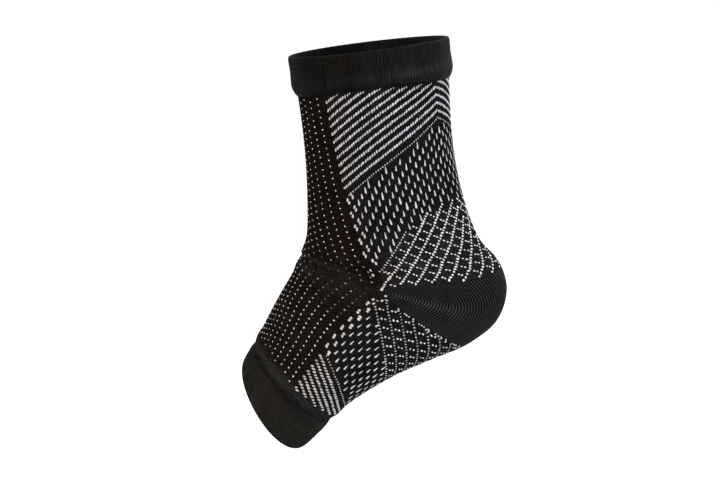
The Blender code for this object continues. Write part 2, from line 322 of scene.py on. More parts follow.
def read_net(net, share, down):
    """Value of a net at shares round the sleeve and places from 0 to 1 down it, weighed between knots."""
    across = from_front(np.asarray(share)) / 0.5 * (len(SHARE_STEPS) - 1)
    along = np.clip(down, 0, 1) * (len(COURSE_STEPS) - 1)
    i = np.clip(across.astype(int), 0, len(SHARE_STEPS) - 2)
    j = np.clip(along.astype(int), 0, len(COURSE_STEPS) - 2)
    a, b = across - i, along - j
    upper = net[i, j] * (1 - a) + net[i + 1, j] * a
    lower = net[i, j + 1] * (1 - a) + net[i + 1, j + 1] * a
    return upper * (1 - b) + lower * b


def length_at(share, course):
    """Length along the knit from the top rim down to a course."""
    return read_net(LENGTHS, share, course)


def course_at(share, length):
    """Course that lies a length down from the top rim."""
    return read_net(COURSES, share, length / LONGEST)


def leg_cuff_edge(share):
    """Course of the lower edge of the top welt, which rises as a cosine towards the two sides."""
    return course_at(share, LEG_CUFF_HEIGHT + LEG_CUFF_BOW * np.cos(4 * np.pi * share))


def heel_edge(share, reach, power):
    """Course of an edge of the heel pocket, a reach below the gore line at the middle of the back.

    It leaves the gore at the corner, as a power of the way to the back, and stays on it before the corner.
    """
    behind = np.clip((from_front(share) - GORE_SHARE) / (0.5 - GORE_SHARE), 0, 1)
    middle = course_at(0.5, length_at(0.5, GORE_COURSE) + reach)
    return GORE_COURSE + (middle - GORE_COURSE) * behind**power


def heel_top(share):
    """Course of the heel pocket's upper edge."""
    return heel_edge(share, -HEEL_RISE, RISE_POWER)


def wale_share(wale, course, wales):
    """Share of a wale at a course: even from wale 0 to the border, and then nearly even to the back.

    There the spread, small at first, brings wale 84 to the middle of the back. The far side is mirrored.
    """
    first, last = wales.lines[0].course, wales.lines[-1].course
    twist, border = curves(wales.lines, np.clip(course, first, last))
    front = border - twist
    count = np.clip(np.abs(wale) - BORDER_WALE, 0, None)
    most = WALES / 2 - BORDER_WALE
    breadth = np.minimum(wales.breadth, (0.5 - front) / most)
    rest = (0.5 - front - breadth * most) * wales.spread(count / most)
    behind = front + breadth * count + rest
    before = front * np.abs(wale) / BORDER_WALE
    return twist + np.sign(wale) * np.where(np.abs(wale) <= BORDER_WALE, before, behind)


# A zone of single knit lies between its welt and the heel pocket. Their edges are functions, each with a
# first guess of its course. Rows count from the welt: down is 1 if they go down the sleeve and -1 if up.
Zone = namedtuple("Zone", "wales welt_edge welt_guess heel_edge heel_guess down swell")
LEG = Zone(LEG_WALES, leg_cuff_edge, 0.08, heel_top, 0.5, 1, lambda share, course: 0 * share)


def wale_meets(zone, wale, edge, guess):
    """Course at which each wale meets an edge, found by going to and fro between wale and edge."""
    course = np.full(np.shape(wale), guess)
    for _ in range(EDGE_ROUNDS):
        course = 0.5 * (course + edge(wale_share(wale, course, zone.wales)))
    return course


def row_at(zone, share, course):
    """Rows from a zone's welt to a course."""
    return zone.down * (length_at(share, course) - length_at(share, zone.welt_edge(share))) / ROW


def zone_outline(zone, count):
    """Points of a zone's tube with their wales, rows and courses, down the outer face and up the lining.

    The outer face is ribbed as a cosine of the wale.
    """
    welt = wale_meets(zone, wale_columns, zone.welt_edge, zone.welt_guess) + zone.down * SEAM_GAP
    heel = wale_meets(zone, wale_columns, zone.heel_edge, zone.heel_guess) - zone.down * SEAM_GAP
    top, bottom = (welt, heel)[:: zone.down]
    outer_course = top + (bottom - top) * np.linspace(0, 1, count + 1)[:, None]
    inner_course = top + (bottom - top) * np.linspace(1, 0, LINING_ROWS + 1)[:, None]
    course = np.concatenate([outer_course, inner_course])
    share = wale_share(wale_columns, course, zone.wales)
    outer = np.arange(len(course))[:, None] <= count
    proud = np.where(outer, RIB * np.cos(2 * np.pi * wale_columns), -KNIT_WALL)
    row = row_at(zone, share, course)
    return skin(share, course, proud + zone.swell(share, course)), wale_columns + 0 * row, row, course


def knitted_mesh(name, points, wale, row, tinge, ring=True):
    """Mesh of a closed outline at each column, down the outer face and up the lining.

    Wales and rows are its UV map, and tinge is each point's share of the finish's second colour. A ring's
    last column closes on its first, and any other piece has a wall at both ends.
    """
    count, columns = wale.shape
    corners = np.arange(count * columns).reshape(count, columns)
    if ring:
        points, tinge = points[:, :-1], tinge[:, :-1]
        index = np.arange(count * (columns - 1)).reshape(count, columns - 1)
        index = np.concatenate([index, index[:, :1]], axis=1)
    else:
        index = corners

    def quads(grid):
        below = np.roll(grid, -1, axis=0)
        return np.stack([grid[:, :-1], below[:, :-1], below[:, 1:], grid[:, 1:]], axis=-1).reshape(-1, 4)

    faces, face_corners = quads(index), quads(corners)
    if not ring:
        half = count // 2
        outer, inner = index[:half], index[half:][::-1]
        for column, order in ((0, 1), (columns - 1, -1)):
            wall = [outer[:-1, column], inner[:-1, column], inner[1:, column], outer[1:, column]]
            wall = np.stack(wall, axis=-1)[:, ::order]
            faces, face_corners = np.concatenate([faces, wall]), np.concatenate([face_corners, wall])
    mesh = bpy.data.meshes.new(name)
    mesh.from_pydata(points.reshape(-1, 3).tolist(), [], faces.tolist())
    counts = np.stack([wale.ravel(), row.ravel()], axis=-1)[face_corners.ravel()]
    mesh.uv_layers.new(name="knit").data.foreach_set("uv", counts.astype(np.float32).ravel())
    shares = mesh.attributes.new("tinge", "FLOAT", "POINT")
    shares.data.foreach_set("value", tinge.astype(np.float32).ravel())
    mesh.shade_smooth()
    return mesh


def fit_piece(mesh, material, slot, *nodes):
    """Object of a mesh at the origin with its finish, riding on the sleeve in the place of its CAD nodes."""
    piece = put(mesh.name, mesh)
    mesh.materials.append(material)
    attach(piece, "root")
    if nodes:
        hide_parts(*nodes)


MIX_FIRST, MIX_SECOND, MIX_RESULT = 6, 7, 2  # a Mix node's sockets for colours


class Wire:
    """One outlet of a shader's nodes. Operators on it add Math nodes, and node adds any other node."""

    def __init__(self, tree, outlet=None):
        self.tree, self.outlet = tree, outlet

    def node(self, kind, settings=(), sockets=(), outlet=0):
        """Adds a node of a kind: settings are set first, then sockets take values or wires."""
        made = self.tree.nodes.new(kind)
        for key, value in dict(settings).items():
            setattr(made, key, value)
        for key, value in dict(sockets).items():
            if isinstance(value, Wire):
                value.feed(made.inputs[key])
            else:
                made.inputs[key].default_value = value
        return Wire(self.tree, made.outputs[outlet])

    def feed(self, socket):
        """Links this wire to a socket."""
        self.tree.links.new(self.outlet, socket)

    def math(self, operation, *values):
        """Math node on this wire and other values."""
        return self.node("ShaderNodeMath", {"operation": operation}, enumerate((self, *values)))

    def __add__(self, other):
        return self.math("ADD", other)

    def __sub__(self, other):
        return self.math("SUBTRACT", other)

    def __rsub__(self, other):
        return self.math("MULTIPLY", -1.0) + other

    def __mul__(self, other):
        return self.math("MULTIPLY", other)

    def __pow__(self, other):
        return self.math("POWER", other)

    __radd__, __rmul__ = __add__, __mul__

    def within(self):
        """This wire held between 0 and 1."""
        return self.node("ShaderNodeClamp", (), {0: self})

    def blend(self, first, second):
        """Colour between two colours, where this wire is the share of the second."""
        sockets = {"Factor": self, MIX_FIRST: first, MIX_SECOND: second}
        return self.node("ShaderNodeMix", {"data_type": "RGBA"}, sockets, MIX_RESULT)

    def shaded(self, colour):
        """Colour multiplied by this wire."""
        grey = self.node("ShaderNodeCombineColor", (), {0: self, 1: self, 2: self})
        sockets = {"Factor": 1.0, MIX_FIRST: colour, MIX_SECOND: grey}
        settings = {"data_type": "RGBA", "blend_type": "MULTIPLY"}
        return self.node("ShaderNodeMix", settings, sockets, MIX_RESULT)

    def noise(self, place, scale, detail):
        """Soft noise at a place, with lumps as fine as its scale."""
        return self.node("ShaderNodeTexNoise", (), {"Vector": place, "Scale": scale, "Detail": detail})

    def bumped(self, shader, strength, distance):
        """Feeds a shader's normal with this wire as a height."""
        sockets = {"Strength": strength, "Distance": distance, "Height": self}
        self.node("ShaderNodeBump", (), sockets).feed(shader.inputs["Normal"])


def new_finish(name, roughness, specular):
    """Empty material: its tree as a wire, and its Principled shader with the values of the whole surface."""
    material = bpy.data.materials.new(name)
    material.use_nodes = True
    shader = material.node_tree.nodes["Principled BSDF"]
    shader.inputs["Roughness"].default_value = roughness
    shader.inputs["Specular IOR Level"].default_value = specular
    return material, Wire(material.node_tree), shader


def knit_finish(name, front, back, second, roughness, specular, groove_shade, sharp=1, mottle=0.6, run=1):
    """Finish of a knit: stitches on its own wales and rows, in yarns of slightly different darkness.

    Two strands in each wale lean together into a V in each row, as a cosine of the row that slides with the
    distance from the wale's middle, and painted shade makes the raised strands paler than the hollows. Front
    and back colour the dotted panel and the ground behind its border, and second comes in flecks with the
    mesh's tinge. Groove shade is how much painted shade darkens it between wales, sharp how narrow that
    leaves them, mottle how much yarns differ, and run how many rows one keeps its tone.
    """
    material, tree, shader = new_finish(name, roughness, specular)
    counts = tree.node("ShaderNodeUVMap", {"uv_map": "knit"})
    wale, row = (tree.node("ShaderNodeSeparateXYZ", (), {0: counts}, axis) for axis in (0, 1))
    aside = ((wale + 0.5).math("FRACT") - 0.5).math("ABSOLUTE")
    strand = 1 - (aside * 4 - 1) ** 2
    height = strand * (0.55 + 0.45 * (row * (2 * np.pi) - aside * STRAND_LEAN).math("COSINE"))
    stretch = (row * (1 / run)).math("FLOOR")
    cell = tree.node("ShaderNodeCombineXYZ", (), {0: wale.math("ROUND"), 1: stretch, 2: 0.0})
    yarn = tree.node("ShaderNodeTexWhiteNoise", {"noise_dimensions": "2D"}, {"Vector": cell})
    place = tree.node("ShaderNodeTexCoord", outlet="Object")
    cloud, fleck = tree.noise(place, CLOUDS, 3.0), tree.noise(place, FLECKS, 2.0)
    ground = (wale.math("ABSOLUTE") - BORDER_WALE + 0.5).within().blend((*front, 1), (*back, 1))
    tinge = tree.node("ShaderNodeAttribute", {"attribute_name": "tinge"}, (), "Fac")
    ground = (tinge * (2 * fleck - 0.1)).within().blend(ground, (*second, 1))
    # Painted shade: paler on the stitches' raised strands and darker between wales, times the yarns' own
    # tone.
    shade = (0.4 * height + mottle * (yarn - 0.5) + 0.3 + cloud) * (1 - groove_shade * (aside * 2) ** 2) ** sharp
    shade.shaded(ground).feed(shader.inputs["Base Color"])
    height.bumped(shader, 0.5, STITCH_BUMP)
    return material


def crease_highlight(points, wale, course):
    """Painted highlight round the instep bend: soft over its side, and along the folds' crests."""
    aside = np.abs(wale)
    bend = bell(course, BEND_COURSE, BEND_BREADTH) * ease(aside, 6, 18) * ease(aside, 44, 38)
    return BEND_HIGHLIGHT * bend + sum(fold_bell(points, edge) for edge in FOLD_HIGHLIGHTS)


def lattice_top(wale):
    """Row below which the lattice above the heel replaces the rows of dashes: a parabola from the back."""
    from_back = WALES / 2 - wale
    return LATTICE_TOP_ROW + LATTICE_TOP_SLOPE * from_back + LATTICE_TOP_BOW * from_back**2


wale_columns = np.arange(-WALES / 2 * WALE_COLUMNS, WALES / 2 * WALE_COLUMNS + 1) / WALE_COLUMNS
points, wales, rows, courses = zone_outline(LEG, LEG_ROWS)
# The lattice's ground is paler in its own yarn; round the instep bend the paler second colour is a painted
# highlight.
lattice = ease(rows - lattice_top(np.abs(wales)), 0, 4) * ease(np.abs(wales), 39, 41)
tinge = LATTICE_TINGE * lattice + crease_highlight(points, wales, courses)
mesh = knitted_mesh("leg_knit", points, wales, rows, tinge)
leg_finish = knit_finish(
    "black_leg_knit", (0.0080, 0.0047, 0.0035), (0.0094, 0.0080, 0.0100), (0.0182, 0.0166, 0.0162),
    roughness=0.75, specular=0.005, groove_shade=0.5,
)
fit_piece(mesh, leg_finish, "leg_knit", "leg_tube")

# Foot.
# The same single knit goes on from the heel over the foot to the toe welt. It lies in soft creases at the
# instep bend, and swells a little where the toe welt draws it in.
HEEL_FALL = 0.0360
FALL_POWER = 0.5
TOE_CUFF_HEIGHT = 0.0185
TOE_CUFF_BOW = 0.0038
SWELL_PROUD = 0.0009
SWELL_INSET = 0.0060
SWELL_BREADTH = 0.0040
FOOT_ROWS = 96
# A painted highlight on the swell before the toe welt: its middle row and breadth.
TOE_HIGHLIGHT_ROW = 6
TOE_HIGHLIGHT_BREADTH = 4
FOOT_WALES = Wales(breadth=0.00610, spread=lambda back: ease(44 * back, 18, 42), lines=[
    WaleLine(0.532, 0.000, 0.2060),
    WaleLine(0.588, -0.008, 0.1960),
    WaleLine(0.635, -0.012, 0.1975),
    WaleLine(0.676, -0.014, 0.2035),
    WaleLine(0.715, -0.013, 0.2090),
    WaleLine(0.748, -0.008, 0.2140),
    WaleLine(0.784, 0.005, 0.2200),
    WaleLine(0.825, 0.022, 0.2280),
    WaleLine(0.856, 0.033, 0.2310),
    WaleLine(0.895, 0.042, 0.2350),
    WaleLine(0.928, 0.045, 0.2380),
    WaleLine(1.000, 0.045, 0.2400),
])


def heel_bottom(share):
    """Course of the heel pocket's lower edge."""
    return heel_edge(share, HEEL_FALL, FALL_POWER)


def toe_cuff_edge(share):
    """Course of the upper edge of the toe welt, which bows as a cosine towards the heel at the two sides."""
    side = course_at(0.25, length_at(0.25, 1.0) - TOE_CUFF_HEIGHT)
    slope = (1 - side) / TOE_CUFF_HEIGHT
    return side + slope * TOE_CUFF_BOW * (np.cos(4 * np.pi * share) + 0.5) / 2


def toe_swell(share, course):
    """Height of the swell before the toe welt: a bell along the knit."""
    inset = length_at(share, toe_cuff_edge(share)) - length_at(share, course)
    return SWELL_PROUD * bell(inset, SWELL_INSET, SWELL_BREADTH)


FOOT = Zone(FOOT_WALES, toe_cuff_edge, 0.9, heel_bottom, 0.55, -1, toe_swell)
points, wales, rows, courses = zone_outline(FOOT, FOOT_ROWS)
# Painted highlight: the paler second colour in a soft band on the swell before the toe welt, weaker towards
# the sole, and round the instep bend.
toe_band = bell(rows, TOE_HIGHLIGHT_ROW, TOE_HIGHLIGHT_BREADTH) * (1 - 0.5 * ease(np.abs(wales), 40, 60))
tinge = toe_band + crease_highlight(points, wales, courses)
mesh = knitted_mesh("foot_knit", points, wales, rows, tinge)
foot_finish = knit_finish(
    "black_foot_knit", (0.0092, 0.0066, 0.0052), (0.0096, 0.0080, 0.0082), (0.0200, 0.0196, 0.0174),
    roughness=0.75, specular=0.005, groove_shade=0.5,
)
fit_piece(mesh, foot_finish, "foot_knit", "foot_tube")

# Heel pocket.
# A lens of thicker plain black knit, turned on the gore line between the two heel corners. So its wales run
# down and back from the leg, turn at the gore and run forward again under the foot, as raised ridges.
HEEL_WALL = 0.0015
HEEL_PROUD = 0.0002
RIDGE = 0.00060
RIDGE_COLUMNS = 6
HEEL_ROWS = 44
GORE_ABOVE = 0.60  # how much closer the ridges lie at the upper seam, near the corner
GORE_BELOW = 0.25  # the same at the lower seam
CORNER_COLUMNS = np.array([2e-6, 4e-5, 3e-4, 1e-3])  # extra columns that close the pocket's pointed corner


def heel_wale_share(gore, down):
    """Share of a heel ridge that turns on the gore line at one share: towards both seams it runs forward.

    The turn is a hyperbola, sharp near the heel corner and round towards the back. How far the ridge runs
    forward is a part of its way from the corner, and falls to nothing at the back.
    """
    behind = np.clip((gore - GORE_SHARE) / (0.5 - GORE_SHARE), 0, 1)
    forward = np.where(down < 0.5, GORE_ABOVE, GORE_BELOW) * (0.5 - GORE_SHARE) * behind * (1 - behind)
    round_off = 0.03 + 0.9 * behind**2
    away = (np.sqrt((2 * down - 1) ** 2 + round_off**2) - round_off) / (np.hypot(1, round_off) - round_off)
    return gore - forward * away


columns = RIDGE_COLUMNS * WALES * (0.5 - GORE_SHARE)
half = np.concatenate([CORNER_COLUMNS, np.arange(1, columns + 1) / columns])
half = 0.5 - (1 - half / half[-1]) * (0.5 - GORE_SHARE)
start = np.concatenate([half, 1 - half[-2::-1]])
near = np.minimum(start, 1 - start)
down = np.linspace(0, 1, HEEL_ROWS + 1)[:, None]
side = heel_wale_share(near, down)
upper, lower = heel_top(side), heel_bottom(side)
gap = np.minimum(SEAM_GAP, 0.3 * (lower - upper))
share, course = np.where(start <= 0.5, side, 1 - side), upper + gap + (lower - upper - 2 * gap) * down
ridge = RIDGE * (np.abs(np.cos(np.pi * WALES * near)) ** 1.2 - 1)
fade = np.sin(np.pi * (0.03 + 0.94 * down)) ** 0.3  # the ridges sink towards both seams
points = np.concatenate([
    skin(share, course, HEEL_PROUD + ridge * fade),
    skin(share, course, 0 * share - HEEL_WALL)[::-1],
])
# Painted highlight: the paler second colour in a soft band along the gore line.
behind = (near - GORE_SHARE) / (0.5 - GORE_SHARE)
gore = bell(down, 0.52, 0.08) * ease(behind, 0.02, 0.10) * ease(behind, 0.62, 0.37)
share, course = np.concatenate([share, share[::-1]]), np.concatenate([course, course[::-1]])
rows = (length_at(share, course) - length_at(share, heel_top(share))) / ROW
wales, tinge = WALES * start + 0 * rows, np.concatenate([gore, gore[::-1]])
mesh = knitted_mesh("heel_pocket_knit", points, wales, rows, tinge, ring=False)
# Painted highlight and shade: the ridges are coloured much paler than the leg's knit for their satin sheen,
# and strong groove shade leaves them nearly black between.
heel_finish = knit_finish(
    "black_heel_knit", (0.0265, 0.0240, 0.0232), (0.0265, 0.0246, 0.0246), (0.0460, 0.0455, 0.0445),
    roughness=0.6, specular=0.02, groove_shade=0.96, sharp=3.2, mottle=0.2, run=4,
)
fit_piece(mesh, heel_finish, "heel_knit", "heel_pocket")

# Top welt.
# The knit is doubled over an elastic thread and linked to the leg, so it stands proud and is thick and
# plain. Its fine wales run up to a rim of small loops.
LEG_CUFF_PROUD = 0.0013
WELT_RIB = 0.00010
LOOP = 0.00010
WELT_ROWS = 60
WELT_CROWD = 1.15  # how much closer the welt's rows lie near its rim
RIM_ROWS = 9

# Outlines of the two welts, from the rim to the inner edge, as shares of their height and proud.
LEG_WELT = [
    (0.00, 0.90), (0.08, 1.00), (0.30, 1.15), (0.55, 1.60),
    (0.72, 1.80), (0.86, 1.35), (0.96, 0.65), (1.00, 0.10),
]


def welt_outline(edge, outline, proud, down, fuller):
    """Points, wales and rows of a folded welt: its outer face, a half circle round the rim, and the inside.

    Down is 1 for the welt at the top, which is turned over to face outwards too, and -1 for the one at the
    toes. Fuller is how much prouder it stands at each wale than its outline says.
    """
    rim = (1 - down) / 2 + 0 * edge
    height = np.linspace(1, 0, WELT_ROWS + 1)[:, None] ** WELT_CROWD
    (outer_proud,) = curves(outline, height)
    outer_proud = proud * outer_proud * fuller + WELT_RIB * np.cos(2 * np.pi * wale_columns)
    length = np.abs(length_at(even_shares, edge) - length_at(even_shares, rim))
    turn = np.pi * (np.arange(1, RIM_ROWS) / RIM_ROWS)[:, None]
    first = proud * outline[0][1] * fuller
    thick = (first + KNIT_WALL) / 2
    loops = LOOP * np.cos(2 * np.pi * wale_columns) * np.sin(turn)
    rim_in = (thick * (1 - np.sin(turn)) - loops) / length
    rim_proud = first - thick + thick * np.cos(turn) + 0 * edge
    base = thick / length
    outer_in = base + (1 - base) * height
    inner_in = base + (1 - base) * np.linspace(0, 1, WELT_ROWS // 2 + 1)[:, None]
    inset = np.concatenate([outer_in, rim_in, inner_in])
    stand = np.concatenate([outer_proud, rim_proud, 0 * inner_in - KNIT_WALL])
    share = even_shares + 0 * inset
    course = course_at(share, length_at(even_shares, rim) + down * inset * length)
    return skin(share, course, stand)[::-down], WALES * share, (inset * length / ROW)[::-down]


even_shares = wale_columns / WALES
edge = leg_cuff_edge(even_shares) - SEAM_GAP
points, wales, rows = welt_outline(edge, LEG_WELT, LEG_CUFF_PROUD, 1, 1)
height = rows * ROW / LEG_CUFF_HEIGHT
# Painted highlight: the paler second colour in a soft band over the welt's bulge, stronger towards the back,
# and over the back itself.
tinge = bell(height, 0.68, 0.13) * (0.2 + 0.8 * ease(np.abs(wales), 25, 60))
tinge += 0.7 * ease(np.abs(wales), 62, 80)
mesh = knitted_mesh("leg_cuff_knit", points, wales, rows, tinge)
welt_finish = knit_finish(
    "black_welt_knit", (0.0070, 0.0058, 0.0048), (0.0096, 0.0091, 0.0091), (0.0190, 0.0186, 0.0186),
    roughness=0.6, specular=0.02, groove_shade=0.8, mottle=0.4, run=10,
)
fit_piece(mesh, welt_finish, "leg_cuff", "leg_cuff")

# Toe welt.
# Like the top welt, but matt and softer. It is linked to the foot behind the swell, in a groove darkened
# with painted shade, and it hangs a little lower and stands fuller at the sole.
TOE_CUFF_PROUD = 0.0012
SOLE_FULLNESS = 0.3
SOLE_REACH = (-0.0004, 0.0, -0.0018)  # how far the rim hangs out at the sole
TOE_WELT = [
    (0.00, 1.10), (0.06, 1.20), (0.20, 1.25), (0.50, 1.15),
    (0.75, 1.02), (0.90, 0.62), (1.00, 0.10),
]
under = (1 - np.cos(2 * np.pi * even_shares)) / 2  # 0 at the front and 1 at the sole
edge = toe_cuff_edge(even_shares) + SEAM_GAP
points, wales, rows = welt_outline(edge, TOE_WELT, TOE_CUFF_PROUD, -1, 1 + SOLE_FULLNESS * under)
height = rows * ROW / TOE_CUFF_HEIGHT
points = points + (under**0.7 * np.clip(1 - height, 0, 1))[..., None] * SOLE_REACH
# Painted shade: the darker second colour along the groove at the welt's upper edge, weaker towards the sole.
tinge = bell(height, 1, 0.16) * (1 - 0.8 * ease(np.abs(wales), 30, 60))
mesh = knitted_mesh("toe_cuff_knit", points, wales, rows, tinge)
toe_finish = knit_finish(
    "black_toe_welt_knit", (0.0148, 0.0130, 0.0110), (0.0148, 0.0134, 0.0118), (0.0060, 0.0052, 0.0044),
    roughness=0.85, specular=0.01, groove_shade=0.3, mottle=0.25, run=5,
)
fit_piece(mesh, toe_finish, "toe_cuff", "toe_cuff")

# Yarn pattern of the leg.
# Off-white yarn is knitted in with the black one and shows wherever the pattern calls for a light stitch:
# dots in front, slanting stripes that meet at the back, rows of dashes, and a lattice above the heel.
StitchKind = namedtuple("StitchKind", "half_rows half_wales height lean neck waist blunt")
STRIPE = StitchKind(1.10, 0.41, 0.00040, -0.38, 0.90, 0.00, 4.0)
FOOT_STRIPE = StitchKind(0.74, 0.64, 0.00040, -0.50, 0.90, 0.00, 2.5)
THIN = StitchKind(0.58, 0.30, 0.00030, -0.10, 0.90, 0.00, 2.5)
DASH = StitchKind(2.35, 0.56, 0.00042, -0.25, 0.36, 0.12, 3.0)
ZIGZAG = StitchKind(1.30, 0.50, 0.00042, -0.45, 0.80, 0.00, 3.0)
FOOT_ZIGZAG = StitchKind(1.02, 0.62, 0.00042, 0.15, 0.80, 0.00, 3.0)
BEAD = StitchKind(0.72, 0.46, 0.00042, 0.00, 0.95, 0.00, 2.5)
LONG_BEAD = StitchKind(1.02, 0.37, 0.00040, -0.20, 0.85, 0.00, 2.5)
PAIR = StitchKind(0.56, 0.38, 0.00040, 0.10, 0.95, 0.00, 2.5)
DOT = StitchKind(0.60, 0.37, 0.00038, 0.00, 0.95, 0.00, 2.5)
LOOP_STITCH = StitchKind(1.20, 0.62, 0.00048, -0.10, 0.80, 0.10, 3.0)
STITCH_ALONG = np.array([-1.0, -0.86, -0.45, 0.0, 0.45, 0.86, 1.0])
STITCH_SIDES = 5
YARN_FRONT = (0.44, 0.415, 0.375)
YARN_BACK = (0.46, 0.455, 0.475)
PLACE_ROUNDS = 10
FAR_RISE = 3.9  # rows
SHAPE_CHANCE = 0.10  # how much chance changes a stitch
WALE_CHANCE = 0.05
ROW_CHANCE = 0.09
TONE_CHANCE = 0.08

# Lines of stitches: the first one's row at the border, its rows to a wale, the rows to the next line, and
# how much those grow from line to line.
Lines = namedtuple("Lines", "first slope apart growth", defaults=(0, 0))
LEG_STRIPES = Lines(5.3, -1, 5.33)
LEG_THIN_LINE = Lines(70.1, -1)
LEG_DASHES = Lines(59.5, 0, 4.375, 0.02125)

# Dots in columns: the first one's row, how much later every other column starts, and the rows to the next.
Dots = namedtuple("Dots", "first later apart")
LEG_DOTS = Dots(2.0, 1.9, 4.2)
DOT_WALES = 4
LAST_DOT_WALE = 36
ZIGZAG_WALE = 42  # up to here the dashes are pairs of zigzag stitches
BACK_WALES = np.arange(BORDER_WALE, WALES // 2 + 1)

# The rows of dashes rise and fall a little round the leg: at a wale, by so many rows.
LEG_DASH_BEND = [(40, -3.8), (48, -0.9), (54, 0.3), (61, 0.5), (70, -0.2), (78, -1.2), (84, -0.9)]

# The lattice above the heel: one of its lines at some steps, and how far the next line lies from it.
LatticeStep = namedtuple("LatticeStep", "step wale row wales_apart rows_apart")
LEG_LATTICE = [
    LatticeStep(-1.0, 74.6, 88.1, 5.80, -1.00),
    LatticeStep(2.0, 66.4, 103.3, 5.40, -0.70),
    LatticeStep(5.0, 57.8, 118.2, 5.55, -0.25),
    LatticeStep(7.0, 50.5, 127.7, 5.90, 0.25),
    LatticeStep(9.0, 45.2, 136.4, 5.85, 0.80),
]

Stitches = namedtuple("Stitches", "kind wale row tone size")


def stitches(kind, wale, row, tone=1.0, size=1.0, keep=True):
    """A group of stitches of one kind, with a wale, row, brightness and size for each one to keep."""
    *values, keep = np.broadcast_arrays(wale, row, tone, size, keep)
    return Stitches(kind, *(value[keep].astype(float) for value in values))


def twins(kind, wale, row, wales_apart, rows_apart, tone=1.0, size=1.0, keep=True):
    """Two groups of stitches, some wales and rows before and behind the same places."""
    return [stitches(kind, wale + k * wales_apart, row + k * rows_apart, tone, size, keep) for k in (-1, 1)]


def every(first, second):
    """Every pair of two counts, as two flat arrays."""
    return (grid.ravel().astype(float) for grid in np.meshgrid(first, second))


def between(value, low, high):
    """Where a value lies between two others."""
    return (value > low) & (value < high)


def line_row(lines, wale, number=0):
    """Row at which a numbered line of stitches crosses a wale."""
    return lines.first + lines.apart * number + lines.growth * number**2 + lines.slope * (wale - BORDER_WALE)


def dash_places(numbers):
    """Every even wale behind the border with the even or odd numbers of its dashes, in turn."""
    wale, number = every(BACK_WALES[::2], numbers)
    keep = (wale // 2 + number) % 2 == 0
    return wale[keep], number[keep]


def dot_places(dots, count):
    """Wales, numbers and rows of the dots in front."""
    wale, number = every(np.arange(0, LAST_DOT_WALE + 1, DOT_WALES), np.arange(count))
    other = (LAST_DOT_WALE - wale) // DOT_WALES % 2
    return wale, number, dots.first + dots.later * other + dots.apart * number


def dulled(wale, number, amount):
    """Brightness of dots near the bend: lower there, for some of them more than for others."""
    return 1 - amount * (0.9 - 0.6 * np.clip(np.sin(5.3 * wale + 2.9 * number) - 0.4, 0, 1))


def zone_place(zone, wale, row, course):
    """Share and course of stitches on a zone's wales and rows, found in steps from a first guess."""
    for _ in range(PLACE_ROUNDS):
        share = wale_share(wale, course, zone.wales)
        course = course_at(share, length_at(share, zone.welt_edge(share)) + zone.down * row * ROW)
    return share, course


def leg_place(wale, row):
    """Share and course of stitches on the leg.

    High on the leg the far side's rows rise a little behind the middle of the back, because the knit is
    drawn up there.
    """
    past = np.where(wale < 0, WALES / 2 + wale, 0)
    row = row - FAR_RISE * (1 - np.exp(-past / 6)) * ease(-wale, 0, 30) * ease(row, 75, 35)
    return zone_place(LEG, wale, row, 0.08 + row / 280)


def seam_row(zone, wale):
    """Row at which a wale of a zone meets the heel pocket, or the corner's course before it."""
    course = wale_meets(zone, wale, zone.heel_edge, zone.heel_guess)
    return row_at(zone, wale_share(wale, course, zone.wales), course)


def stitch_bodies(zone, place, group, chance):
    """Points of raised stitches, one closed body each, from the upper pole over rings to the lower pole.

    A ring's breadth is a blunt round profile, times the kind's waist and its narrowing towards the neck at
    the upper end. Chance holds random numbers for the length, breadth, lean and neck of each stitch.
    """
    kind, along = group.kind, STITCH_ALONG
    length, breadth, tilt, neck = (SHAPE_CHANCE * chance[:, k, None, None] for k in range(4))
    neck = np.clip(kind.neck * (1 + neck), 0.2, 1.05)
    girth = (1 - np.abs(along) ** kind.blunt)[:, None] ** 0.5
    girth = girth * (1 - kind.waist * bell(along, -0.15, 0.35))[:, None]
    girth = girth * (neck + (1 - neck) * ((along + 1)[:, None] / 2) ** 1.5)
    turn = 2 * np.pi * (np.arange(STITCH_SIDES) / STITCH_SIDES + 0.25)
    wale, row, size = (a[:, None, None] for a in (group.wale, group.row, group.size))
    across = kind.half_wales * size * (1 + breadth) * girth * np.cos(turn)
    lean = np.where(wale < 0, -1, 1) * (kind.lean + tilt) * along[:, None] / 2
    rows = kind.half_rows * size * (1 + length) * zone.down * along[:, None]
    share, course = place(wale + across + lean, row + rows + 0 * across)
    lift = kind.height * size**0.5 * (0.2 + 0.8 * girth * np.sin(turn))
    return skin(share, course, lift + zone.swell(share, course))


def stitch_faces(count):
    """Quads between the rings and triangles at the two poles of many stitches, each pole a single point."""
    last = (len(STITCH_ALONG) - 2) * STITCH_SIDES + 1
    grid = np.arange(1, last).reshape(-1, STITCH_SIDES)
    after = np.roll(grid, -1, axis=1)
    quads = np.stack([grid[:-1], after[:-1], after[1:], grid[1:]], axis=-1).reshape(-1, 4)
    upper = np.stack([0 * grid[0], after[0], grid[0]], axis=-1)
    lower = np.stack([0 * grid[0] + last, grid[-1], after[-1]], axis=-1)
    shift = (last + 1) * np.arange(count)[:, None, None]
    return (quads + shift).reshape(-1, 4), (np.concatenate([upper, lower]) + shift).reshape(-1, 3)


